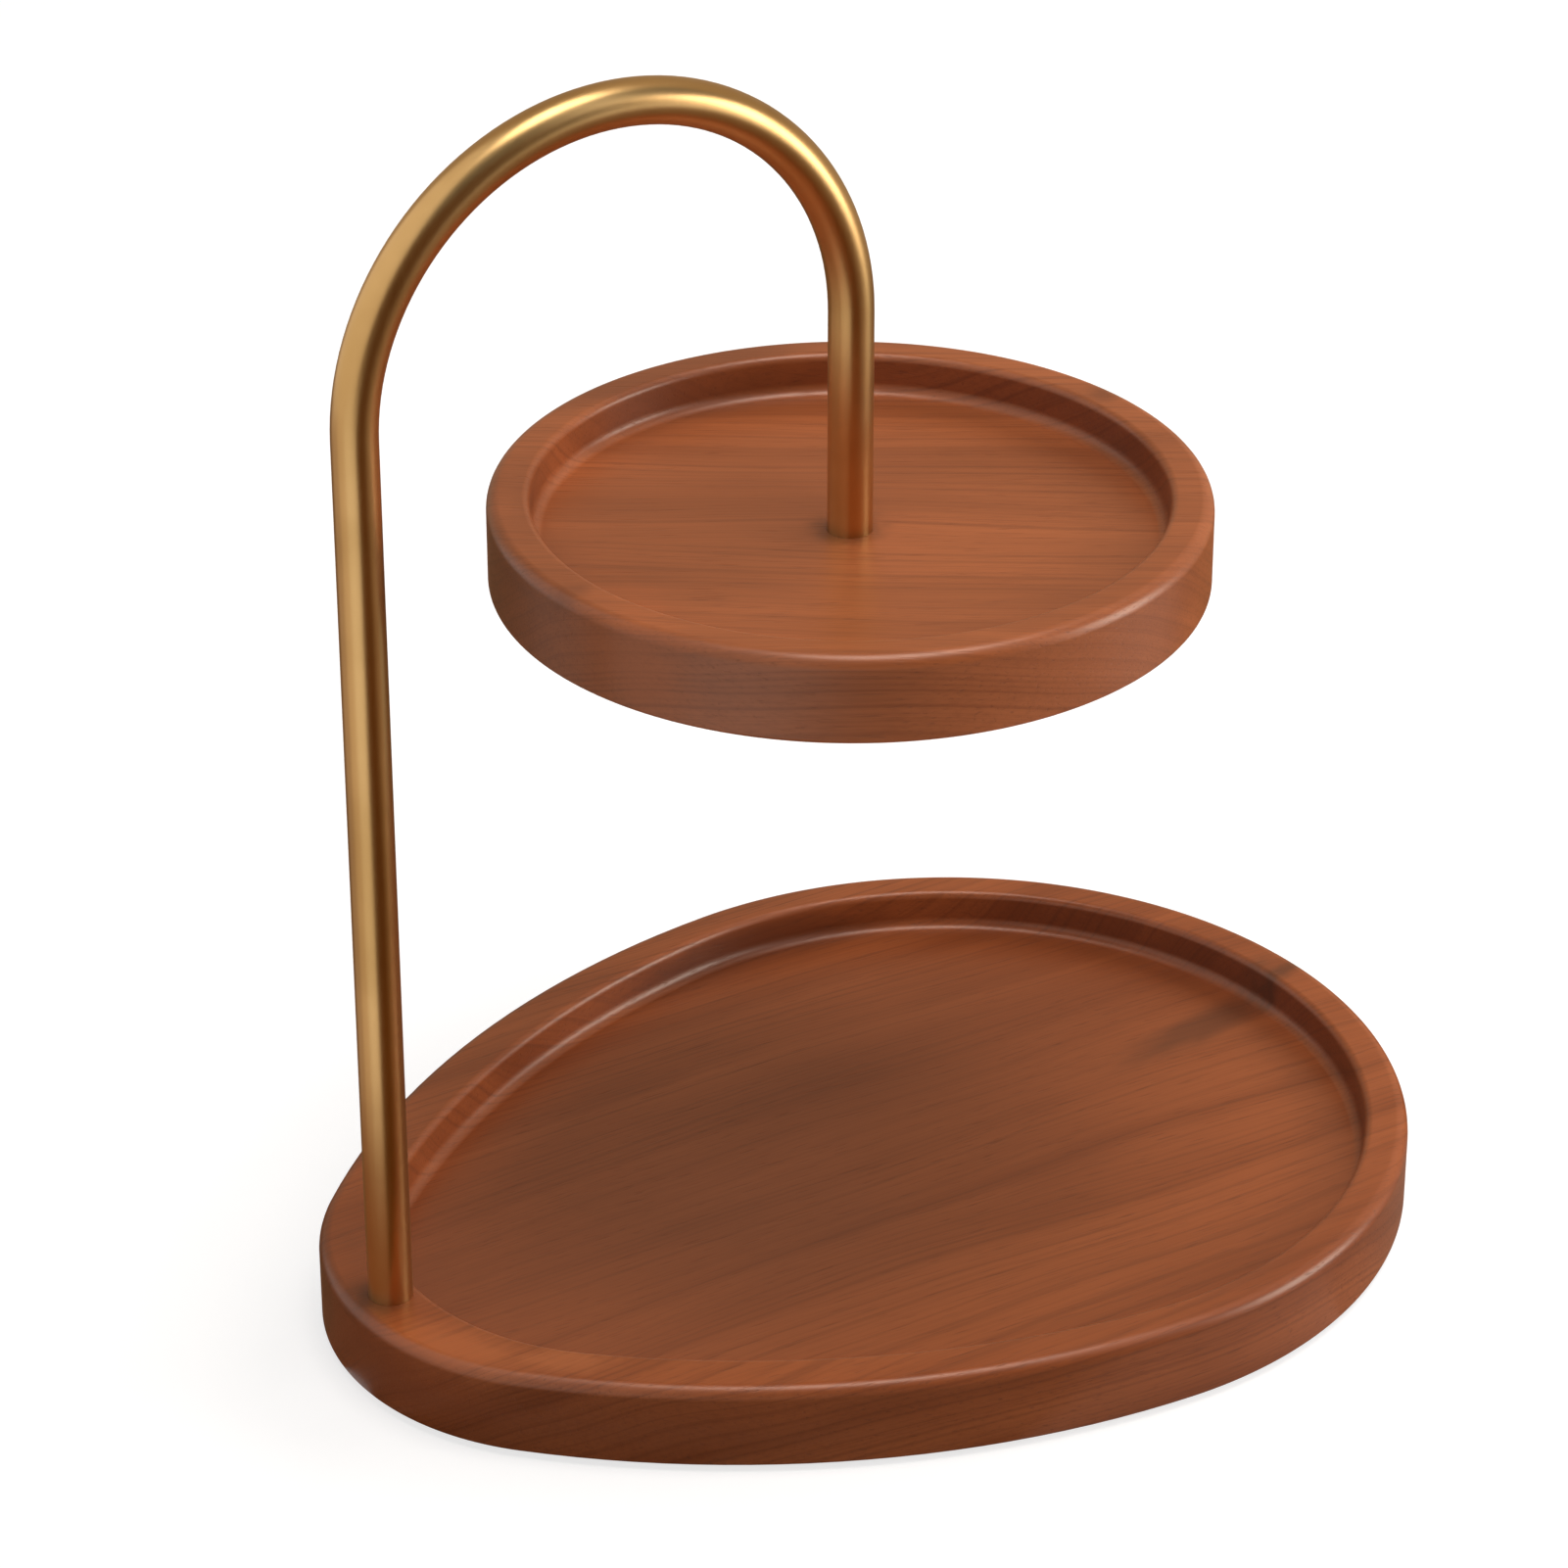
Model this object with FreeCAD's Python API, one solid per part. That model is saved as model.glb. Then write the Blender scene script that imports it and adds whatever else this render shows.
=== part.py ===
import FreeCAD, Part
import math
import os

# Two-tier tray stand: an egg-shaped tray, a round tray above it and one bent tube between them.
# All sizes are in millimetres. X runs along the egg, from its narrow nose to its wide tail, and Z is up.
# The origin is on the surface that the stand rests on, under the middle of the egg's length.

# Boards, the same stock for both trays
board_thickness = 20.0
top_round = 3.0
round_steps = 3
underside_bevel = 1.0
lip_bevel = 1.0
corner_bevel = 1.2

# Egg outline of the lower tray: a nose circle, a tail circle and a long arc along each side
nose_radius = 60.5
tail_radius = 105.0
nose_to_tail = 100.5
side_radius = 212.0

# Pocket of the lower tray
lower_rim = 10.0
pocket_nose_ease = 4.5
pocket_side_ease = 4.0

# Round upper tray
upper_radius = 79.0
upper_rim = 9.5

# Arch tube
tube_diameter = 10.0
tube_wall = 1.0
bend_radius = 60.0
tray_gap = 146.5
upper_leg = 51.5

# Wood left round the tube's feet
nose_wall = 5.0
landing_wall = 1.5
upper_socket_depth = 3.0
web_thickness = 3.0
socket_clearance = 0.1

# Screws, washers and the threaded plugs in the tube's ends
thread_diameter = 4.0
thread_clearance = 0.05
screw_length = 12.0
head_diameter = 8.0
head_height = 3.1
head_bevel = 1.2
head_recess = 0.6
drive_width = 1.1
drive_span = 4.6
drive_depth = 1.7
screw_hole_clearance = 0.25
washer_diameter = 9.0
washer_thickness = 0.8
washer_hole_clearance = 0.15
counterbore_clearance = 0.5
insert_length = 12.0
insert_clearance = 0.05

# Anti-slip pads
pad_diameter = 12.0
pad_thickness = 1.5
pad_inset = 15.0
nose_pad_angle = 50.0
tail_pad_angle = 45.0

# Heights
lower_underside = pad_thickness
lower_top = lower_underside + board_thickness
upper_underside = lower_top + tray_gap
upper_top = upper_underside + board_thickness
counterbore_depth = head_recess + head_height + washer_thickness
foot_height = counterbore_depth + web_thickness
pocket_depth = board_thickness - foot_height - upper_socket_depth
spring_height = upper_top - pocket_depth + upper_leg

# Places along X
nose_x = (nose_radius - nose_to_tail - tail_radius) / 2
tail_x = nose_x + nose_to_tail
tube_radius = tube_diameter / 2
lower_leg_x = nose_x - nose_radius + nose_wall + tube_radius
upper_leg_x = lower_leg_x + 2 * bend_radius
pocket_nose_radius = nose_radius - pocket_nose_ease
pocket_nose_x = lower_leg_x + tube_radius + landing_wall + pocket_nose_radius

UP = FreeCAD.Vector(0, 0, 1)


def point(x, y=0.0, z=0.0):
    return FreeCAD.Vector(x, y, z)


def cylinder(radius, height, x, y, z):
    return Part.makeCylinder(radius, height, point(x, y, z), UP)


def arc(x, y, radius, start, end, z):
    """Arc about (x, y) from one angle to another, in radians, at the height z."""
    places = []
    for angle in (start, (start + end) / 2, end):
        places.append(point(x + radius * math.cos(angle), y + radius * math.sin(angle), z))
    return Part.Arc(*places).toShape()


def egg_wire(first_x, first_radius, last_x, last_radius, arc_radius, z):
    """Egg outline: two end circles, joined on each side by an arc that is tangent to both."""
    span = last_x - first_x
    to_first = arc_radius - first_radius
    to_last = arc_radius - last_radius
    along = (to_first ** 2 - to_last ** 2 + span ** 2) / (2 * span)
    across = math.sqrt(to_first ** 2 - along ** 2)
    # The side arcs' centres lie across the axis, and the tangent points in line with them.
    tail_turn = math.atan2(across, span - along)
    nose_turn = math.atan2(across, -along)
    return Part.Wire([
        arc(last_x, 0, last_radius, -tail_turn, tail_turn, z),
        arc(first_x + along, -across, arc_radius, tail_turn, nose_turn, z),
        arc(first_x, 0, first_radius, nose_turn, 2 * math.pi - nose_turn, z),
        arc(first_x + along, across, arc_radius, -nose_turn, -tail_turn, z),
    ])


def disc_wire(radius, x, z):
    """Round outline in quarter arcs, so that it lofts in patches like the egg's."""
    quarters = []
    for quarter in range(4):
        start = quarter * math.pi / 2
        quarters.append(arc(x, 0, radius, start, start + math.pi / 2, z))
    return Part.Wire(quarters)


def lower_outline(inset, z):
    return egg_wire(nose_x, nose_radius - inset, tail_x, tail_radius - inset, side_radius - inset, z)


def lower_pocket(inset, z):
    return egg_wire(pocket_nose_x, pocket_nose_radius - inset, tail_x, tail_radius - lower_rim - inset,
                    side_radius + pocket_side_ease - inset, z)


def upper_outline(inset, z):
    return disc_wire(upper_radius - inset, upper_leg_x, z)


def upper_pocket(inset, z):
    return disc_wire(upper_radius - upper_rim - inset, upper_leg_x, z)


def stacked(outline, stations):
    """Solid through copies of an outline, each given by its inset and its height."""
    wires = [outline(inset, z) for inset, z in stations]
    return Part.makeLoft(wires, True, True)


def routed_board(outline, pocket, underside):
    """Board with a bevel beneath, a rounded top edge and a pocket with an eased corner and lip."""
    top = underside + board_thickness
    edge = [(underside_bevel, underside), (0, underside + underside_bevel)]
    for step in range(round_steps + 1):
        turn = math.pi / 2 * step / round_steps
        edge.append((top_round * (1 - math.cos(turn)), top - top_round * (1 - math.sin(turn))))
    floor = top - pocket_depth
    wall = [
        (corner_bevel, floor),
        (0, floor + corner_bevel),
        (0, top - lip_bevel),
        (-lip_bevel, top),
    ]
    return stacked(outline, edge).cut(stacked(pocket, wall))


def tube_seat(x, underside, depth):
    """What is cut for one foot of the tube: its socket, the screw's hole and the counterbore."""
    foot = underside + foot_height
    socket = cylinder(tube_radius + socket_clearance, depth, x, 0, foot)
    hole_radius = thread_diameter / 2 + screw_hole_clearance
    hole = cylinder(hole_radius, foot_height, x, 0, underside)
    counterbore_radius = washer_diameter / 2 + counterbore_clearance
    counterbore = cylinder(counterbore_radius, counterbore_depth, x, 0, underside)
    return socket.fuse([hole, counterbore])


def lower_tray():
    board = routed_board(lower_outline, lower_pocket, lower_underside)
    return board.cut(tube_seat(lower_leg_x, lower_underside, board_thickness - foot_height))


def upper_tray():
    board = routed_board(upper_outline, upper_pocket, upper_underside)
    return board.cut(tube_seat(upper_leg_x, upper_underside, upper_socket_depth))


def arch_path():
    """The tube's axis: up the lower leg, over the half circle and down the upper leg."""
    lower_foot = point(lower_leg_x, 0, lower_underside + foot_height)
    lower_spring = point(lower_leg_x, 0, spring_height)
    crown = point(lower_leg_x + bend_radius, 0, spring_height + bend_radius)
    upper_spring = point(upper_leg_x, 0, spring_height)
    upper_foot = point(upper_leg_x, 0, upper_underside + foot_height)
    return Part.Wire([
        Part.makeLine(lower_foot, lower_spring),
        Part.Arc(lower_spring, crown, upper_spring).toShape(),
        Part.makeLine(upper_spring, upper_foot),
    ])


def arch_rod():
    foot = point(lower_leg_x, 0, lower_underside + foot_height)
    section = Part.Wire(Part.makeCircle(tube_radius, foot, UP))
    return arch_path().makePipeShell([section], True, False)


def arch_tube():
    """Bent tube, bored through its straight legs.

    The bend is left solid, since the plugs close both ends and nothing shows inside it.
    """
    bores = []
    for x, underside in ((lower_leg_x, lower_underside), (upper_leg_x, upper_underside)):
        foot = underside + foot_height
        bores.append(cylinder(tube_radius - tube_wall, spring_height - foot, x, 0, foot))
    return arch_rod().cut(bores)


def ring(outer_radius, inner_radius, height, x, z):
    return cylinder(outer_radius, height, x, 0, z).cut(cylinder(inner_radius, height, x, 0, z))


def tube_insert(x, underside):
    """Threaded plug pressed into the tube, flush with its end."""
    radius = tube_radius - tube_wall - insert_clearance
    bore = thread_diameter / 2 + thread_clearance
    return ring(radius, bore, insert_length, x, underside + foot_height)


def cross_drive(x, crown):
    """What is cut for the cross: two arms, from under the head's crown up to the drive's depth."""
    height = drive_depth + head_height
    corner = point(x - drive_span / 2, -drive_width / 2, crown - head_height)
    arm = Part.makeBox(drive_span, drive_width, height, corner)
    other = arm.copy()
    other.rotate(point(x), UP, 90)
    return arm.fuse(other)


def screw(x, underside):
    """Pan-head screw, its head hanging below the washer and its shank standing in the plug."""
    crown = underside + head_recess
    bearing = crown + head_height
    radius = head_diameter / 2
    face = Part.makeCone(radius - head_bevel, radius, head_bevel, point(x, 0, crown), UP)
    side = cylinder(radius, head_height - head_bevel, x, 0, crown + head_bevel)
    shank = cylinder(thread_diameter / 2, screw_length, x, 0, bearing)
    return face.fuse([side, shank]).cut(cross_drive(x, crown))


def washer(x, underside):
    hole_radius = thread_diameter / 2 + washer_hole_clearance
    bottom = underside + head_recess + head_height
    return ring(washer_diameter / 2, hole_radius, washer_thickness, x, bottom)


def foot_pad(x, y):
    return cylinder(pad_diameter / 2, pad_thickness, x, y, 0)


def pad_places():
    """Two pads near the nose and two near the tail, each set in from the outline."""
    places = []
    for centre_x, radius, angle in (
        (nose_x, nose_radius, 180 - nose_pad_angle),
        (tail_x, tail_radius, tail_pad_angle),
    ):
        for side in (-1, 1):
            turn = math.radians(side * angle)
            reach = radius - pad_inset
            places.append((centre_x + reach * math.cos(turn), reach * math.sin(turn)))
    return places


pieces = {
    "lower_tray": lower_tray(),
    "upper_tray": upper_tray(),
    "arch_tube": arch_tube(),
}
for name, leg_x, underside in (
    ("lower", lower_leg_x, lower_underside),
    ("upper", upper_leg_x, upper_underside),
):
    pieces[name + "_tube_insert"] = tube_insert(leg_x, underside)
    pieces[name + "_screw"] = screw(leg_x, underside)
    pieces[name + "_washer"] = washer(leg_x, underside)
for number, (pad_x, pad_y) in enumerate(pad_places(), 1):
    pieces["foot_pad_%d" % number] = foot_pad(pad_x, pad_y)

os.makedirs("parts", exist_ok=True)
for name, shape in pieces.items():
    print(name, "valid", shape.isValid(), "solids", len(shape.Solids), "volume", round(shape.Volume, 1))
    shape.exportStep("parts/%s.step" % name)
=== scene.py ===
import bmesh
import bpy
import math
from mathutils import Matrix, Vector


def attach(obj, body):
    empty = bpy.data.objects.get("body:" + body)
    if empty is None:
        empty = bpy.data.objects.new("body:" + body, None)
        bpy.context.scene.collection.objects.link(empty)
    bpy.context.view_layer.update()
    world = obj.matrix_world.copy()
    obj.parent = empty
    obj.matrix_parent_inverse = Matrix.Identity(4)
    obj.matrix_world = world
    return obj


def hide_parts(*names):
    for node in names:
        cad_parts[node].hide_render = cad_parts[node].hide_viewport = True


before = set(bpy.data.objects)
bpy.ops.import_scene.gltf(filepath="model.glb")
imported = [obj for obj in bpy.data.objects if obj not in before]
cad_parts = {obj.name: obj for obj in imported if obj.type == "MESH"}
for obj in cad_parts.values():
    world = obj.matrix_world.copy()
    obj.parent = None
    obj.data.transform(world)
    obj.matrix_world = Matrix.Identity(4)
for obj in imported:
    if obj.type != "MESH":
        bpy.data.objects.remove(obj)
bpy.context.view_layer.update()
scene = bpy.context.scene


# A value in a material. Arithmetic on it adds Math nodes, and node() adds any other kind.
class Wire:
    def __init__(self, socket):
        self.socket = socket

    def node(self, kind, settings=None, inputs=None, out=0):
        made = self.socket.id_data.nodes.new("ShaderNode" + kind)
        for name, value in (settings or {}).items():
            setattr(made, name, value)
        for name, value in (inputs or {}).items():
            if isinstance(value, Wire):
                self.socket.id_data.links.new(value.socket, made.inputs[name])
            else:
                made.inputs[name].default_value = value
        return Wire(made.outputs[out])

    def math(self, operation, *others):
        return self.node("Math", {"operation": operation}, dict(enumerate((self, *others))))

    def __add__(self, other):
        return self.math("ADD", other)

    def __sub__(self, other):
        return self.math("SUBTRACT", other)

    def __rsub__(self, other):
        return self.math("MULTIPLY_ADD", -1.0, other)

    def __mul__(self, other):
        return self.math("MULTIPLY", other)

    def __truediv__(self, other):
        return self.math("DIVIDE", other)

    def __rtruediv__(self, other):
        return self.node("Math", {"operation": "DIVIDE"}, {0: other, 1: self})

    __radd__ = __add__
    __rmul__ = __mul__

    def vector(self, operation, other):
        return self.node("VectorMath", {"operation": operation}, {0: self, 1: other})

    def noise(self, scale, out=0, **inputs):
        return self.node("TexNoise", None, {"Vector": self, "Scale": scale, **inputs}, out)

    def stretched(self, scale, out=0, **inputs):  # noise with a scale of its own on each axis
        return self.node("Mapping", None, {"Vector": self, "Scale": scale}).noise(1.0, out, **inputs)

    def lines(self, width, **inputs):  # noise along one number, as lines of about this width
        return self.node("TexNoise", {"noise_dimensions": "1D"}, {"W": self / width, "Scale": 1.0, **inputs})

    def fade(self, low, high):  # 0 below low, 1 above high, smooth between
        return self.node("MapRange", {"interpolation_type": "SMOOTHSTEP"},
                         {"Value": self, "From Min": low, "From Max": high})

    def tint(self, first, second):  # mixes two colours by this value
        return self.node("Mix", {"data_type": "RGBA"}, {0: self, 6: first, 7: second}, 2)

    def bump(self, strength, depth):
        return self.node("Bump", None, {"Strength": strength, "Distance": depth, "Height": self}, "Normal")


def opaque(shade):
    return (*shade, 1)


def newMaterial(name):
    material = bpy.data.materials.new(name)
    material.use_nodes = True
    tree = material.node_tree
    shader = tree.nodes["Principled BSDF"]
    place = tree.nodes.new("ShaderNodeTexCoord")
    return material, shader, Wire(place.outputs["Object"])


def wear(shader, **links):
    for name, value in links.items():
        target = shader.inputs[name.replace("_", " ")]
        if isinstance(value, Wire):
            shader.id_data.links.new(value.socket, target)
        else:
            target.default_value = value


# Grain of both boards: scales along and across it, where each kind of line sets in, and how much it shows
grain = {
    "driftScale": (4, 14, 14), "driftReach": (0.0, 0.02, 0.02), "cloudScale": (7, 22, 22),
    "hairScale": (22, 1300, 1300), "poreScale": (95, 2000, 2000),
    "cloudFade": (0.36, 0.66), "ringFade": (0.42, 0.75), "hairFade": (0.4, 0.8), "poreFade": (0.6, 0.74),
    "cloudShare": 0.6, "decadeShare": 0.4, "hairHeight": 0.3, "yearHeight": 0.3, "poreHeight": 0.7,
    "relief": 0.3, "reliefDepth": 0.0001, "markScale": 2.3, "markRagged": 0.7, "markYear": 0.6,
    "markFade": (0.25, 1.0)}
lacquer = {"satin": 0.32, "onHair": 0.05, "onPore": 0.1, "ior": 1.5, "level": 0.6, "shade": (1.0, 0.90, 0.80)}


def walnut(name, board):
    material, shader, place = newMaterial(name)
    # The board is cut well out from the heart of the log, so its growth rings run as long fine lines.
    lay = place.node("Mapping", None, {
        "Vector": place, "Location": board["heart"],
        "Rotation": [math.radians(turn) for turn in board["turn"]]})
    drift = lay.stretched(grain["driftScale"], "Color", Detail=2.0).vector("SUBTRACT", (0.5, 0.5, 0.5))
    grown = lay.vector("ADD", drift.vector("MULTIPLY", grain["driftReach"]))
    across = grown.node("SeparateXYZ", None, {0: grown}, 1)
    depth = grown.node("SeparateXYZ", None, {0: grown}, 2)
    ring = (across * across + depth * depth).math("SQRT")
    year = ring.lines(board["ringWidth"], Detail=3.0, Roughness=0.6)
    decade = ring.lines(board["bandWidth"], Detail=2.0)
    cloud = grown.stretched(grain["cloudScale"], Detail=3.0, Roughness=0.55)
    # Fine fibres and the short open pores between them
    hair = grown.stretched(grain["hairScale"], Detail=3.0, Roughness=0.6)
    pore = grown.stretched(grain["poreScale"], Detail=1.0).fade(*grain["poreFade"])
    dark = opaque(board["dark"])
    tone = (cloud * grain["cloudShare"] + decade * grain["decadeShare"]).fade(*grain["cloudFade"])
    shade = tone.tint(opaque(board["light"]), opaque(board["middle"]))
    shade = (year.fade(*grain["ringFade"]) * board["ringDepth"]).tint(shade, dark)
    shade = (hair.fade(*grain["hairFade"]) * board["hairDepth"]).tint(shade, dark)
    shade = (pore * board["poreDepth"]).tint(shade, opaque(board["pore"]))
    # Streaks and patches in the wood, and painted shade and painted shadow in the pockets and round the
    # tube's feet
    for mark in board["marksAndShade"]:
        shade = markAndShadeMask(place, mark, year).tint(shade, opaque(mark["shade"]))
    relief = hair * grain["hairHeight"] + year * grain["yearHeight"] - pore * grain["poreHeight"]
    wear(shader, Base_Color=shade, Normal=relief.bump(grain["relief"], grain["reliefDepth"]),
         Roughness=lacquer["satin"] + hair * lacquer["onHair"] + pore * lacquer["onPore"], IOR=lacquer["ior"],
         Specular_IOR_Level=lacquer["level"], Specular_Tint=opaque(lacquer["shade"]))
    return material


# A soft-edged patch that runs with the grain: a streak or patch in the wood, or painted shade
def markAndShadeMask(place, mark, year):
    near = place.node("Mapping", {"vector_type": "TEXTURE"}, {
        "Vector": place, "Location": mark["middle"],
        "Rotation": (0, 0, math.radians(mark["turn"])), "Scale": mark["reach"]})
    ragged = near.noise(grain["markScale"], Detail=3.0)
    far = near.node("VectorMath", {"operation": "LENGTH"}, {0: near}, "Value")
    far = far + (ragged - 0.5) * grain["markRagged"] + (year - 0.5) * grain["markYear"]
    return (1 - far.fade(*grain["markFade"])) * mark["depth"]


# Satin metal: fine brushing in the gloss, and a slow change between the fresh and the aged shade
satin = {"cloudScale": 34.0, "cloudFade": (0.35, 0.7), "scratchDepth": 0.00005, "uneven": 0.05}


def metal(name, finish):
    material, shader, place = newMaterial(name)
    brushed = place.stretched(finish["brushed"], Detail=3.0)
    cloud = place.noise(satin["cloudScale"], Detail=3.0)
    shade = cloud.fade(*satin["cloudFade"]).tint(opaque(finish["shade"]), opaque(finish["aged"]))
    wear(shader, Base_Color=shade, Metallic=1.0,
         Normal=brushed.bump(finish["scratch"], satin["scratchDepth"]),
         Roughness=finish["gloss"] + brushed * satin["uneven"] + cloud * satin["uneven"])
    return material


def rubber(name, finish):
    material, shader, place = newMaterial(name)
    pitted = place.noise(finish["pitScale"], Detail=2.0)
    dust = place.noise(finish["dustScale"], Detail=4.0)
    shade = dust.fade(*finish["dustFade"]).tint(opaque(finish["shade"]), opaque(finish["dust"]))
    wear(shader, Base_Color=shade, Normal=pitted.bump(finish["pitted"], finish["pitDepth"]),
         Roughness=finish["matt"] + dust * finish["dustMatt"])
    return material


def objectFrom(name, mesh):
    data = bpy.data.meshes.new(name)
    mesh.to_mesh(data)
    mesh.free()
    made = bpy.data.objects.new(name, data)
    scene.collection.objects.link(made)
    return made


# Edges that turn by more than sharpOver degrees shade sharp
def newPiece(name, mesh, material, node, sharpOver=35):
    bmesh.ops.remove_doubles(mesh, verts=mesh.verts, dist=1e-6)
    bmesh.ops.recalc_face_normals(mesh, faces=mesh.faces)
    piece = objectFrom(name, mesh)
    piece.data.shade_smooth()
    piece.data.set_sharp_from_angle(angle=math.radians(sharpOver))
    piece.data.materials.append(material)
    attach(piece, "root")
    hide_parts(node)
    return piece


# Camera: a long lens, looking down about 29 degrees from the front left
view = {"place": (-0.5902, -0.9053, 0.7164), "lens": 127.04, "sensor": 36, "clip": 0.05,
        "down": 29.144, "turn": -32.2245, "roll": 0.0366}
camera = bpy.data.objects.new("camera", bpy.data.cameras.new("camera"))
scene.collection.objects.link(camera)
camera.data.lens = view["lens"]
camera.data.sensor_width = view["sensor"]
camera.data.clip_start = view["clip"]
camera.location = view["place"]
camera.rotation_euler = [math.radians(turn) for turn in (90 - view["down"], view["roll"], view["turn"])]
scene.camera = camera
print("camera set")

# Boards, in metres
stock = {"thickness": 0.020, "topRound": 0.003, "lipRound": 0.0018, "coveRound": 0.0026, "footRound": 0.0009,
         "topSteps": 8, "lipSteps": 5, "coveSteps": 6, "footSteps": 6,
         "tailSteps": 64, "sideSteps": 24, "noseSteps": 40, "discSteps": 192}
egg = {"nose": (-0.0725, 0.0605), "tail": (0.028, 0.105), "side": 0.212}
eggPocket = {"nose": (-0.0605, 0.056), "tail": (0.028, 0.095), "side": 0.216, "floor": 0.012}
disc = {"middle": -0.003, "radius": 0.079, "pocket": 0.0695, "floor": 0.1785}
# Where the tube's two feet stand in the boards
seats = {"lower": {"x": -0.123, "underside": 0.0015, "socketTop": 0.0215, "socketFloor": 0.009},
         "upper": {"x": -0.003, "underside": 0.168, "socketTop": 0.1785, "socketFloor": 0.1755}}
boring = {"socket": 0.00502, "screwHole": 0.00225, "counterbore": 0.005, "counterboreDepth": 0.0045,
          "overrun": 0.001, "steps": 64, "sharpOver": 35}


def edgesOf(verts):  # in a fixed order, so that every run gives the same mesh
    return list(dict.fromkeys(e for v in verts for e in v.link_edges))


def cornersIn(made):
    return [v for v in made if isinstance(v, bmesh.types.BMVert)]


def edgesIn(made):
    return [e for e in made if isinstance(e, bmesh.types.BMEdge)]


# Spins a corner about an upright axis, and gives back the corner at its end
def sweepArc(mesh, corner, middle, turn, steps):
    made = bmesh.ops.spin(mesh, geom=[corner], cent=middle, axis=(0, 0, 1), dvec=(0, 0, 0),
                          angle=turn, steps=steps, use_duplicate=False)
    return cornersIn(made["geom_last"])[0]


# One half of an egg from its tail to its nose in three tangent arcs, then mirrored
def eggLoop(mesh, shape, height):
    (noseX, noseR), (tailX, tailR) = shape["nose"], shape["tail"]
    span = tailX - noseX
    toNose = shape["side"] - noseR
    toTail = shape["side"] - tailR
    along = (toNose ** 2 - toTail ** 2 + span ** 2) / (2 * span)
    across = math.sqrt(toNose ** 2 - along ** 2)
    tailTurn = math.atan2(across, span - along)
    noseTurn = math.atan2(across, -along)
    before = set(mesh.verts)
    corner = mesh.verts.new((tailX + tailR, 0, height))
    for middle, turn, steps in (((tailX, 0, height), tailTurn, stock["tailSteps"]),
                                ((noseX + along, -across, height), noseTurn - tailTurn, stock["sideSteps"]),
                                ((noseX, 0, height), math.pi - noseTurn, stock["noseSteps"])):
        corner = sweepArc(mesh, corner, middle, turn, steps)
    half = [v for v in mesh.verts if v not in before]
    bmesh.ops.mirror(mesh, geom=half + edgesOf(half), axis="Y", merge_dist=1e-6, matrix=Matrix.Identity(4))
    return edgesOf(v for v in mesh.verts if v not in before)


def roundLoop(mesh, x, radius, height, steps):
    made = bmesh.ops.create_circle(mesh, segments=steps, radius=radius,
                                   matrix=Matrix.Translation((x, 0, height)))
    return edgesOf(made["verts"])


def lift(mesh, edges, height):
    made = bmesh.ops.extrude_edge_only(mesh, edges=edges)["geom"]
    bmesh.ops.translate(mesh, verts=cornersIn(made), vec=(0, 0, height))
    return edgesIn(made)


def sharpEdges(mesh):
    return [e for e in mesh.edges if e.calc_face_angle(0) > 1.0]


def easeEdges(mesh, edges, radius, steps):
    bmesh.ops.bevel(mesh, geom=edges, offset=radius, offset_type="OFFSET", segments=steps, profile=0.5,
                    affect="EDGES", material=-1)


# A board with a routed pocket, its edges rounded as a router bit leaves them
def routedBoard(name, outer, pocket, underside, floorHeight, material, node):
    mesh = bmesh.new()
    top = underside + stock["thickness"]
    rim = outer(mesh, top)
    lip = pocket(mesh, top)
    bmesh.ops.bridge_loops(mesh, edges=rim + lip)
    foot = lift(mesh, rim, -stock["thickness"])
    cove = lift(mesh, lip, floorHeight - top)
    bmesh.ops.contextual_create(mesh, geom=foot)
    bmesh.ops.contextual_create(mesh, geom=cove)
    for edges, kind in ((rim, "top"), (lip, "lip"), (cove, "cove"), (foot, "foot")):
        easeEdges(mesh, [e for e in edges if e.is_valid], stock[kind + "Round"], stock[kind + "Steps"])
    return newPiece(name, mesh, material, node)


# Turns a profile of radii and heights about the upright axis at x
def turned(x, profile, steps, closed=False):
    mesh = bmesh.new()
    corners = [mesh.verts.new((x + reach, 0, height)) for reach, height in profile]
    ring = corners + corners[:1] if closed else corners
    for pair in zip(ring, ring[1:]):
        mesh.edges.new(pair)
    spinRound(mesh, x, steps)
    bmesh.ops.recalc_face_normals(mesh, faces=mesh.faces)
    return mesh


def spinRound(mesh, x, steps):
    bmesh.ops.spin(mesh, geom=mesh.verts[:] + mesh.edges[:], cent=(x, 0, 0), axis=(0, 0, 1), dvec=(0, 0, 0),
                   angle=2 * math.pi, steps=steps, use_merge=True, use_duplicate=False)
    bmesh.ops.remove_doubles(mesh, verts=mesh.verts, dist=1e-7)


def cutAway(piece, cutter, sharpOver):
    tool = objectFrom("cutter", cutter)
    cut = piece.modifiers.new("cut", "BOOLEAN")
    cut.operation = "DIFFERENCE"
    cut.solver = "EXACT"
    cut.object = tool
    made = bpy.data.meshes.new_from_object(piece.evaluated_get(bpy.context.evaluated_depsgraph_get()))
    piece.modifiers.clear()
    piece.data = made
    made.set_sharp_from_angle(angle=math.radians(sharpOver))
    bpy.data.objects.remove(tool)


# The borings for the tube, the screw and its head, cut with a turned plug
def bore(piece, seat):
    start = seat["underside"] - boring["overrun"]
    ceiling = seat["underside"] + boring["counterboreDepth"]
    ledge = seat["socketFloor"]
    end = seat["socketTop"] + boring["overrun"]
    profile = ((0, start), (boring["counterbore"], start), (boring["counterbore"], ceiling),
               (boring["screwHole"], ceiling), (boring["screwHole"], ledge),
               (boring["socket"], ledge), (boring["socket"], end), (0, end))
    cutAway(piece, turned(seat["x"], profile, boring["steps"]), boring["sharpOver"])
    flat = piece.modifiers.new("flat faces shade flat", "WEIGHTED_NORMAL")
    flat.keep_sharp = True
    flat.weight = 100


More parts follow.
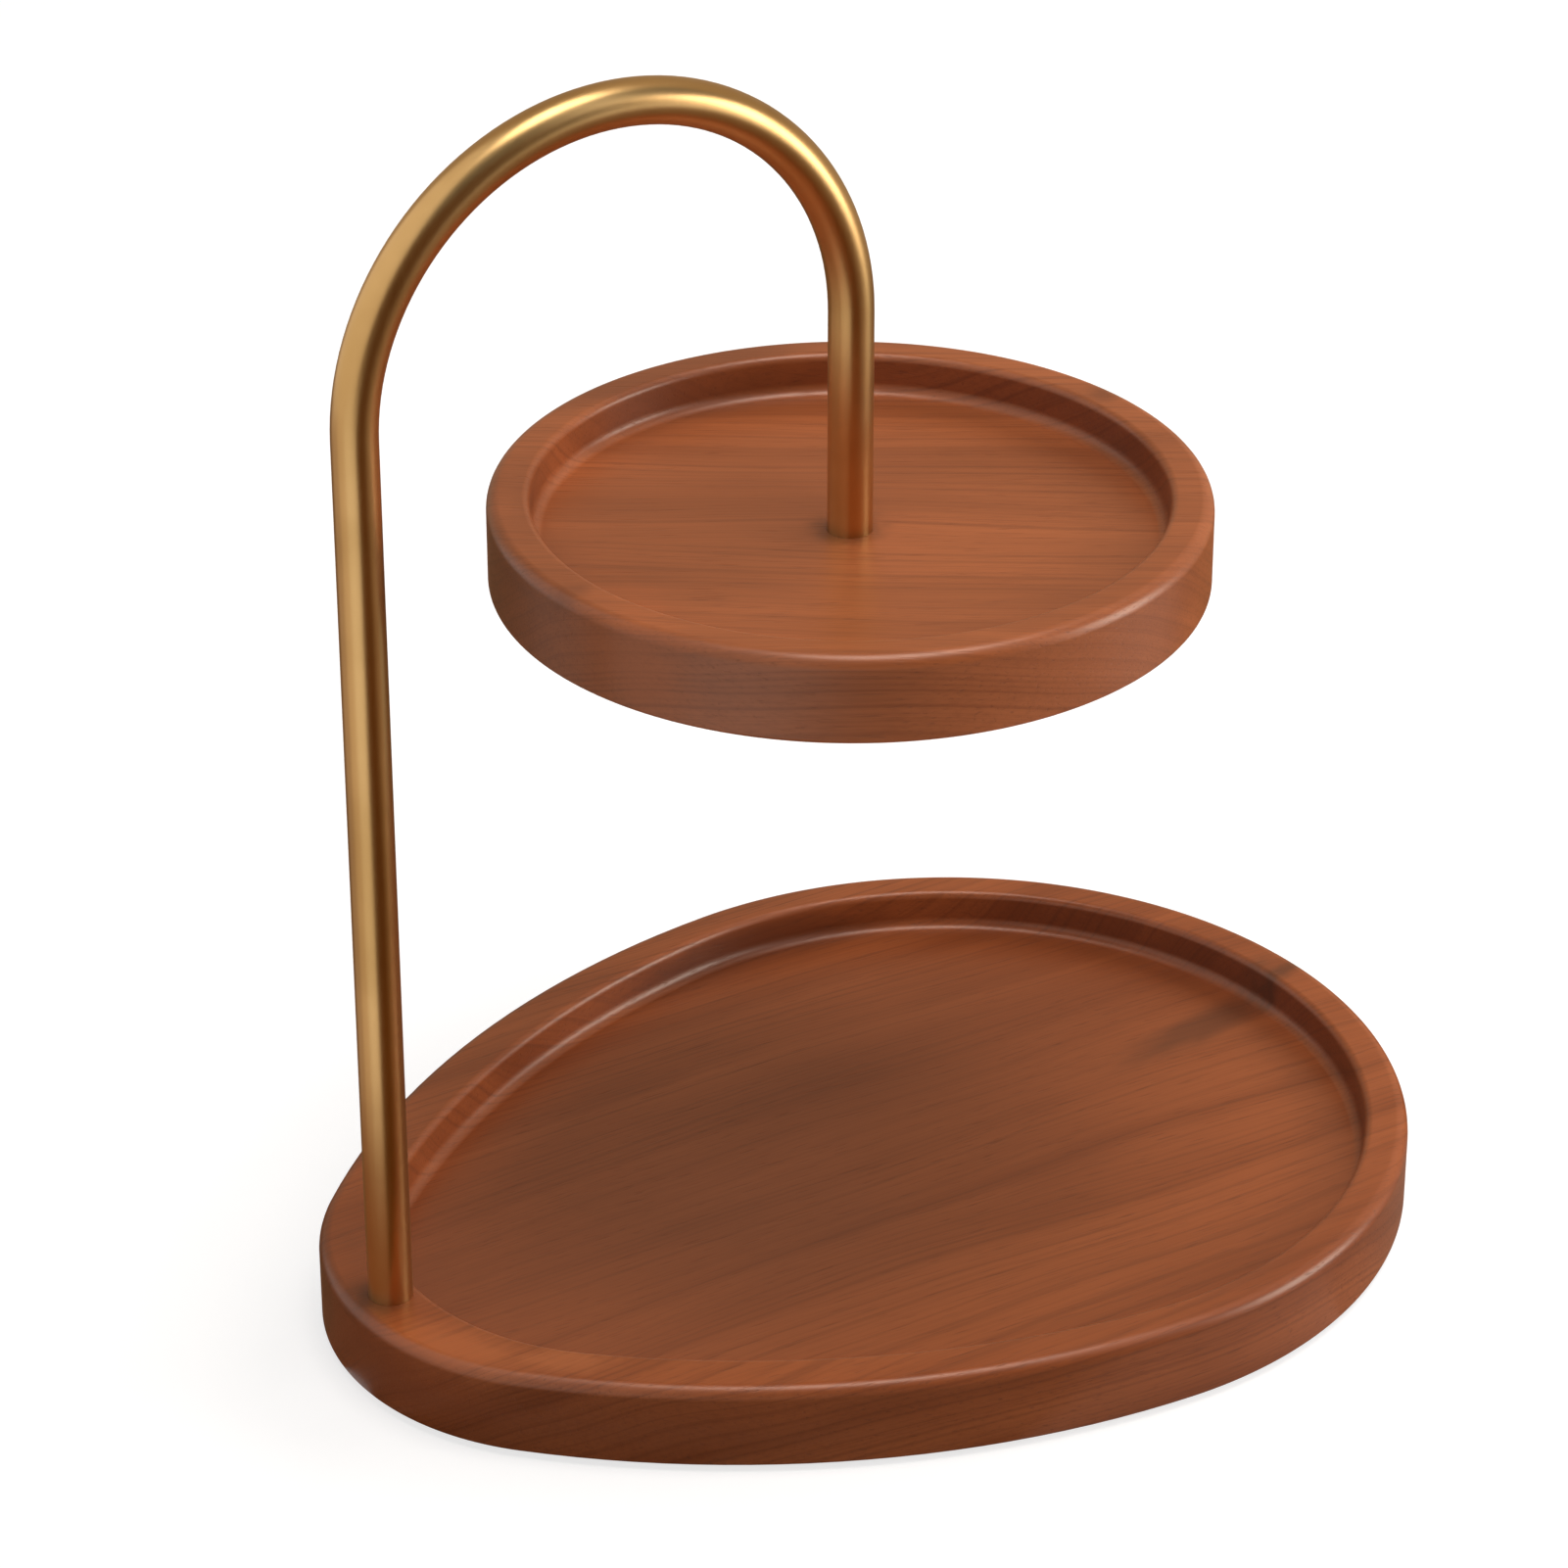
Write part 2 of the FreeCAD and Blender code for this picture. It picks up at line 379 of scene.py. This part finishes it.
lowerWood = {
    "heart": (0.0, 0.17, 0.15), "turn": (0, 2, 3), "ringWidth": 0.0011, "bandWidth": 0.012,
    "light": (0.330, 0.086, 0.0245), "middle": (0.226, 0.053, 0.0135), "dark": (0.12, 0.028, 0.009),
    "pore": (0.07, 0.019, 0.007), "ringDepth": 0.42, "hairDepth": 0.3, "poreDepth": 0.3,
    "marksAndShade": [
        # The dark streak near the tail, on the floor, up the wall and over the rim
        {"middle": (0.104, 0.0075, 0.014), "turn": 8, "reach": (0.036, 0.0075, 0.03),
         "shade": (0.09, 0.027, 0.011), "depth": 0.72},
        {"middle": (0.127, 0.006, 0.018), "turn": 6, "reach": (0.012, 0.0045, 0.012),
         "shade": (0.08, 0.024, 0.010), "depth": 0.75},
        # Brighter, redder wood round the nose
        {"middle": (-0.1205, -0.0265, 0.0205), "turn": -56, "reach": (0.024, 0.010, 0.009),
         "shade": (0.48, 0.135, 0.040), "depth": 0.6},
        {"middle": (-0.103, -0.043, 0.0215), "turn": -40, "reach": (0.014, 0.006, 0.006),
         "shade": (0.46, 0.14, 0.046), "depth": 0.5},
        {"middle": (-0.130, -0.012, 0.014), "turn": 0, "reach": (0.020, 0.070, 0.018),
         "shade": (0.42, 0.095, 0.022), "depth": 0.45},
        # Duller wood over the nose half, darker over the tail half, and painted shade along the far wall of
        # the pocket
        {"middle": (-0.065, -0.015, 0.010), "turn": 0, "reach": (0.10, 0.09, 0.008),
         "shade": (0.25, 0.074, 0.032), "depth": 0.35},
        {"middle": (0.06, 0.025, 0.010), "turn": 0, "reach": (0.10, 0.075, 0.008),
         "shade": (0.18, 0.040, 0.011), "depth": 0.35},
        {"middle": (0.03, 0.099, 0.0145), "turn": 0, "reach": (0.12, 0.016, 0.008),
         "shade": (0.08, 0.018, 0.006), "depth": 0.7},
        # Darker behind the tube, and a painted contact shadow where its foot stands
        {"middle": (-0.118, 0.012, 0.018), "turn": 70, "reach": (0.028, 0.024, 0.02),
         "shade": (0.18, 0.048, 0.016), "depth": 0.42},
        {"middle": (-0.126, 0.0, 0.0215), "turn": 0, "reach": (0.0125, 0.0095, 0.006),
         "shade": (0.06, 0.016, 0.006), "depth": 0.6}]}
upperWood = {
    "heart": (0.0, 0.19, 0.05), "turn": (0, -2, 32), "ringWidth": 0.0012, "bandWidth": 0.013,
    "light": (0.375, 0.104, 0.032), "middle": (0.272, 0.072, 0.021), "dark": (0.13, 0.031, 0.010),
    "pore": (0.08, 0.022, 0.008), "ringDepth": 0.38, "hairDepth": 0.28, "poreDepth": 0.25,
    "marksAndShade": [
        # Dark flecks on the rim, right and left
        {"middle": (0.0735, 0.012, 0.186), "turn": 40, "reach": (0.010, 0.0055, 0.010),
         "shade": (0.13, 0.035, 0.012), "depth": 0.55},
        {"middle": (-0.0785, -0.009, 0.187), "turn": -20, "reach": (0.0075, 0.0055, 0.006),
         "shade": (0.17, 0.045, 0.015), "depth": 0.55},
        # Painted light low on the left wall, which makes it redder and brighter, and painted shade on the far
        # and left walls of the pocket
        {"middle": (-0.076, -0.030, 0.178), "turn": -25, "reach": (0.016, 0.048, 0.014),
         "shade": (0.46, 0.115, 0.030), "depth": 0.45},
        {"middle": (-0.003, 0.073, 0.184), "turn": 0, "reach": (0.085, 0.017, 0.012),
         "shade": (0.11, 0.027, 0.009), "depth": 0.6},
        {"middle": (-0.066, 0.024, 0.183), "turn": 70, "reach": (0.045, 0.014, 0.0065),
         "shade": (0.11, 0.027, 0.009), "depth": 0.6},
        # Painted contact shadow where the foot of the tube stands
        {"middle": (-0.003, 0.0, 0.1785), "turn": 0, "reach": (0.011, 0.010, 0.006),
         "shade": (0.07, 0.018, 0.006), "depth": 0.6}]}


def discLoop(mesh, radius, height):
    return roundLoop(mesh, disc["middle"], radius, height, stock["discSteps"])


lowerTray = routedBoard("lowerTray", lambda mesh, height: eggLoop(mesh, egg, height),
                        lambda mesh, height: eggLoop(mesh, eggPocket, height),
                        seats["lower"]["underside"], eggPocket["floor"],
                        walnut("lowerWalnut", lowerWood), "lower_tray")
bore(lowerTray, seats["lower"])
upperTray = routedBoard("upperTray", lambda mesh, height: discLoop(mesh, disc["radius"], height),
                        lambda mesh, height: discLoop(mesh, disc["pocket"], height),
                        seats["upper"]["underside"], disc["floor"],
                        walnut("upperWalnut", upperWood), "upper_tray")
bore(upperTray, seats["upper"])
print("trays cut, rounded and bored")

# Arch tube
arch = {"radius": 0.005, "wall": 0.001, "bend": 0.060, "spring": 0.230, "steps": 72, "facets": 48,
        "sharpOver": 50}
brass = metal("satinBrass", {"shade": (0.62, 0.385, 0.157), "aged": (0.52, 0.313, 0.118),
                             "brushed": (900, 900, 60), "scratch": 0.12, "gloss": 0.26})


# Up the lower leg, over the half circle and down the upper leg. Gives back the edges of both ends.
def bentTube(mesh, radius):
    x, start, end = seats["lower"]["x"], seats["lower"]["socketFloor"], seats["upper"]["socketFloor"]
    foot = roundLoop(mesh, x, radius, start, arch["facets"])
    shoulder = lift(mesh, foot, arch["spring"] - start)
    corners = list(dict.fromkeys(v for e in shoulder for v in e.verts))
    bend = bmesh.ops.spin(mesh, geom=shoulder + corners, cent=(x + arch["bend"], 0, arch["spring"]),
                          axis=(0, 1, 0), dvec=(0, 0, 0), angle=math.pi, steps=arch["steps"],
                          use_duplicate=False)
    return foot, lift(mesh, edgesIn(bend["geom_last"]), end - arch["spring"])


tubeMesh = bmesh.new()
boreRadius = arch["radius"] - arch["wall"]
bentTube(tubeMesh, boreRadius)
# Each cut end is the outer edge drawn in to the bore, where the two merge
for edges in bentTube(tubeMesh, arch["radius"]):
    corners = cornersIn(bmesh.ops.extrude_edge_only(tubeMesh, edges=edges)["geom"])
    middle = sum((v.co for v in corners), Vector()) / len(corners)
    share = boreRadius / arch["radius"]
    bmesh.ops.scale(tubeMesh, verts=corners, vec=(share, share, 1), space=Matrix.Translation(-middle))
newPiece("archTube", tubeMesh, brass, "arch_tube", arch["sharpOver"])
print("tube bent")

# Screws, washers and threaded plugs
screw = {"recess": 0.0006, "headRadius": 0.004, "headHeight": 0.0031, "domeRadius": 0.0062,
         "domeReach": 0.0030, "domeSteps": 8, "cheek": ((0.0037, 0.0012), (0.004, 0.0021)),
         "shank": 0.0020, "core": 0.0016, "plain": 0.0012, "threadStart": 0.0016, "threadEnd": 0.0105,
         "valley": 0.00025, "crest": 0.00045, "tip": 0.0014, "length": 0.0120, "steps": 40,
         "crossWidth": 0.0011, "crossSpan": 0.0046, "crossDepth": 0.0017, "sharpOver": 40}
washer = {"hole": 0.00215, "radius": 0.0045, "thickness": 0.0008, "edge": 0.00012, "edgeSteps": 2,
          "steps": 56}
steel = metal("platedSteel", {"shade": (0.60, 0.60, 0.58), "aged": (0.50, 0.49, 0.46),
                              "brushed": (500, 500, 500), "scratch": 0.1, "gloss": 0.3})
for nodeName in ("lower_tube_insert", "upper_tube_insert"):
    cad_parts[nodeName].data.materials.clear()
    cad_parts[nodeName].data.materials.append(steel)


# The screw is turned from its profile, domed at the free side, and the cross is cut into its head
def panScrew(name, x, base, node):
    mesh = bmesh.new()
    seat = base + screw["headHeight"]
    crown = mesh.verts.new((x, 0, base))
    dome = bmesh.ops.spin(mesh, geom=[crown], cent=(x, 0, base + screw["domeRadius"]), axis=(0, 1, 0),
                          dvec=(0, 0, 0), angle=-math.asin(screw["domeReach"] / screw["domeRadius"]),
                          steps=screw["domeSteps"], use_duplicate=False)
    profile = [(reach, base + rise) for reach, rise in screw["cheek"]]
    profile += [(screw["headRadius"], seat), (screw["shank"], seat), (screw["shank"], seat + screw["plain"])]
    # Thread: a saw edge from the plain neck to the tip
    height = seat + screw["threadStart"]
    while height < seat + screw["threadEnd"]:
        for reach, rise in ((screw["core"], screw["valley"]), (screw["shank"], screw["crest"])):
            profile.append((reach, height))
            height += rise
    profile += [(screw["tip"], seat + screw["length"]), (0, seat + screw["length"])]
    last = cornersIn(dome["geom_last"])[0]
    for reach, height in profile:
        corner = mesh.verts.new((x + reach, 0, height))
        mesh.edges.new((last, corner))
        last = corner
    spinRound(mesh, x, screw["steps"])
    piece = newPiece(name, mesh, steel, node, screw["sharpOver"])
    for turn in (0, 90):
        slit = bmesh.new()
        bmesh.ops.create_cube(slit, size=1.0)
        bmesh.ops.scale(slit, vec=(screw["crossSpan"], screw["crossWidth"], 2 * screw["crossDepth"]),
                        verts=slit.verts)
        bmesh.ops.rotate(slit, cent=(0, 0, 0), matrix=Matrix.Rotation(math.radians(turn), 3, "Z"),
                         verts=slit.verts)
        bmesh.ops.translate(slit, vec=(x, 0, base), verts=slit.verts)
        cutAway(piece, slit, screw["sharpOver"])


def flatWasher(name, x, low, node):
    high = low + washer["thickness"]
    mesh = turned(x, ((washer["hole"], low), (washer["radius"], low), (washer["radius"], high),
                      (washer["hole"], high)), washer["steps"], closed=True)
    easeEdges(mesh, sharpEdges(mesh), washer["edge"], washer["edgeSteps"])
    newPiece(name, mesh, steel, node)


for tier, seat in seats.items():
    head = seat["underside"] + screw["recess"]
    panScrew(tier + "Screw", seat["x"], head, tier + "_screw")
    flatWasher(tier + "Washer", seat["x"], head + screw["headHeight"], tier + "_washer")
print("fixings made")

# Anti-slip pads
padShape = {"radius": 0.006, "thickness": 0.0015, "edge": 0.0004, "edgeSteps": 3, "steps": 48,
            "places": ((-0.10175, -0.03486), (-0.10175, 0.03486), (0.09164, -0.06364), (0.09164, 0.06364))}
padRubber = rubber("padRubber", {
    "shade": (0.028, 0.026, 0.025), "matt": 0.62, "pitScale": 2600.0, "pitted": 0.5, "pitDepth": 0.0001,
    "dust": (0.06, 0.056, 0.052), "dustScale": 180.0, "dustFade": (0.45, 0.75), "dustMatt": 0.2})
for number, (padX, padY) in enumerate(padShape["places"], 1):
    pad = bmesh.new()
    bmesh.ops.create_cone(pad, cap_ends=True, segments=padShape["steps"], radius1=padShape["radius"],
                          radius2=padShape["radius"], depth=padShape["thickness"],
                          matrix=Matrix.Translation((padX, padY, padShape["thickness"] / 2)))
    easeEdges(pad, sharpEdges(pad), padShape["edge"], padShape["edgeSteps"])
    newPiece("footPad" + str(number), pad, padRubber, "foot_pad_" + str(number))
print("pads made")

# Pale floor that shows as white to the camera and in the metal, and keeps the soft shadow
studio = {"floorSize": 6.0, "floorShade": (0.36, 0.36, 0.36), "floorRoughness": 0.9, "floorLift": 0.74,
          "world": 0.13, "lampShade": (1.0, 0.94, 0.88), "cardSteps": 24}
floorMesh = bmesh.new()
bmesh.ops.create_grid(floorMesh, x_segments=1, y_segments=1, size=studio["floorSize"] / 2)
floor = objectFrom("floor", floorMesh)
floorPaint, floorShader, floorPlace = newMaterial("paleFloor")
shows = floorPlace.node("LightPath", out="Is Camera Ray") + floorPlace.node("LightPath", out="Is Glossy Ray")
shows = shows + floorPlace.node("LightPath", out="Is Transmission Ray")
wear(floorShader, Base_Color=opaque(studio["floorShade"]), Roughness=studio["floorRoughness"],
     Emission_Color=(1, 1, 1, 1), Emission_Strength=shows * studio["floorLift"])
floor.data.materials.append(floorPaint)

world = bpy.data.worlds.new("studio")
world.use_nodes = True
scene.world = world
ground = world.node_tree.nodes["Background"]
sky = Wire(ground.outputs[0])
shows = sky.node("LightPath", out="Is Camera Ray") + sky.node("LightPath", out="Is Transmission Ray")
wear(ground, Color=(1, 1, 1, 1), Strength=shows * (1 - studio["world"]) + studio["world"])

# Soft lamps. Only the side lamp shows in the gloss, and the cards below make up the rest of it.
lamps = {
    "sideLight": {"place": (0.94, -0.68, 0.39), "aim": (0, 0, 0.28), "size": (0.54, 0.68), "power": 8.4,
                  "glossy": True},
    "topLight": {"place": (0.15, -0.24, 1.75), "aim": (0, 0, 0.1), "size": (0.95, 0.95), "power": 18.5},
    "fillLight": {"place": (1.35, 0.35, 0.95), "aim": (0, 0, 0.1), "size": (1.4, 0.8), "power": 13.5},
    "frontLight": {"place": (-0.85, -1.5, 0.16), "aim": (0, 0, 0.09), "size": (1.2, 0.25), "power": 2.8},
    "floorGlow": {"place": (-0.15, -0.42, 0.003), "aim": (-0.15, -0.42, 1.0), "size": (1.6, 0.5),
                  "power": 1.3}}
for name, setting in lamps.items():
    lamp = bpy.data.lights.new(name, "AREA")
    lamp.shape = "RECTANGLE"
    lamp.size, lamp.size_y = setting["size"]
    lamp.energy = setting["power"]
    lamp.color = studio["lampShade"]
    holder = bpy.data.objects.new(name, lamp)
    scene.collection.objects.link(holder)
    holder.location = setting["place"]
    aim = Vector(setting["aim"]) - Vector(setting["place"])
    holder.rotation_euler = aim.to_track_quat("-Z", "Y").to_euler()
    holder.visible_glossy = "glossy" in setting

# Glowing cards bent round the object that only the gloss sees: painted reflections, dark like flags and
# bright like reflectors, which shape the bands on the metal and the sheen on the wood. A turn starts at +X
# and runs about the lower leg, and a profile gives reaches from it and heights.
cards = {
    "frontFlagNear": {"turns": (-120, -62), "profile": ((0.012, 0.0011), (0.33, 0.0011)),
                      "shade": (0.12, 0.04, 0.0)},
    "frontFlagFar": {"turns": (-112, -64), "profile": ((0.33, 0.0011), (0.85, 0.0011)),
                     "shade": (0.12, 0.04, 0.0)},
    "frontFlagTall": {"turns": (-127, -68), "profile": ((0.85, 0.0011), (0.85, 0.74)),
                      "shade": (0.10, 0.035, 0.0)},
    "rightFlagNear": {"turns": (-62, -44), "profile": ((0.012, 0.0011), (0.30, 0.0011)),
                      "shade": (0.24, 0.14, 0.07)},
    "nearFloor": {"turns": (-44, -27), "profile": ((0.14, 0.0011), (0.30, 0.0011)),
                  "shade": (0.52, 0.40, 0.33)},
    "tailFloor": {"turns": (-27, -8), "profile": ((0.20, 0.0011), (0.30, 0.0011)),
                  "shade": (0.28, 0.22, 0.17)},
    "rightFlagFar": {"turns": (-64, -32), "profile": ((0.30, 0.0011), (0.9, 0.0011)),
                     "shade": (0.24, 0.14, 0.08)},
    "rightFloor": {"turns": (-32, -8), "profile": ((0.30, 0.0011), (0.9, 0.0011)),
                   "shade": (0.42, 0.40, 0.36)},
    "farFloor": {"turns": (-68, -49), "profile": ((0.9, 0.0011), (1.6, 0.0011)), "shade": (0.5, 0.46, 0.42)},
    "farRight": {"turns": (-22, 20), "profile": ((0.9, 0.0011), (2.5, 0.0011)), "shade": (0.52, 0.48, 0.44)},
    "glow": {"turns": (-49, -22), "profile": ((0.9, 0.0011), (1.3, 0.0011)), "shade": (3.3, 3.3, 3.3)},
    "tallGlow": {"turns": (-68, -44), "profile": ((1.2, 0.75), (1.2, 1.2), (0.85, 1.7)),
                 "shade": (1.04, 1.06, 1.08)},
    "overhead": {"middle": (0.175, -0.18, 0), "turns": (0, 360), "profile": ((0.0, 1.75), (0.46, 1.75)),
                 "shade": (6.7, 6.7, 6.7)},
    "backFlag": {"turns": (-8, 112), "profile": ((0.012, 0.0011), (0.8, 0.0011)),
                 "shade": (0.17, 0.09, 0.04)},
    "backFlagTall": {"turns": (-12, 105), "profile": ((0.8, 0.0011), (0.8, 0.9), (0.5, 1.5)),
                     "shade": (0.46, 0.36, 0.25)},
    "leftFlag": {"turns": (112, 156), "profile": ((0.10, 0.0011), (0.8, 0.0011)),
                 "shade": (0.52, 0.41, 0.34)},
    "leftFloor": {"turns": (156, 192), "profile": ((0.11, 0.0011), (0.9, 0.0011)),
                  "shade": (0.80, 0.70, 0.62)},
    "noseFlag": {"turns": (112, 240), "profile": ((0.012, 0.0012), (0.11, 0.0012)),
                 "shade": (0.26, 0.10, 0.045)},
    "reflector": {"turns": (105, 233), "profile": ((0.9, 0.002), (0.9, 1.25), (0.45, 1.9)),
                  "shade": (1.05, 1.0, 0.95)}}


def bentCard(name, card):
    mesh = bmesh.new()
    corners = [mesh.verts.new((reach, 0, height)) for reach, height in card["profile"]]
    edges = [mesh.edges.new(pair) for pair in zip(corners, corners[1:])]
    start, end = [math.radians(turn) for turn in card["turns"]]
    bmesh.ops.rotate(mesh, cent=(0, 0, 0), matrix=Matrix.Rotation(start, 3, "Z"), verts=corners)
    bmesh.ops.spin(mesh, geom=corners + edges, cent=(0, 0, 0), axis=(0, 0, 1), dvec=(0, 0, 0),
                   angle=end - start, steps=studio["cardSteps"], use_duplicate=False)
    bmesh.ops.translate(mesh, verts=mesh.verts, vec=card.get("middle", (seats["lower"]["x"], 0, 0)))
    piece = objectFrom(name, mesh)
    paint, shader = newMaterial(name)[:2]
    wear(shader, Base_Color=(0, 0, 0, 1), Roughness=1.0, Specular_IOR_Level=0.0,
         Emission_Color=opaque(card["shade"]), Emission_Strength=1.0)
    piece.data.materials.append(paint)
    piece.visible_camera = False
    piece.visible_diffuse = False
    piece.visible_shadow = False


for cardName, card in cards.items():
    bentCard(cardName, card)
scene.view_settings.view_transform = "Standard"
print("stage lit")
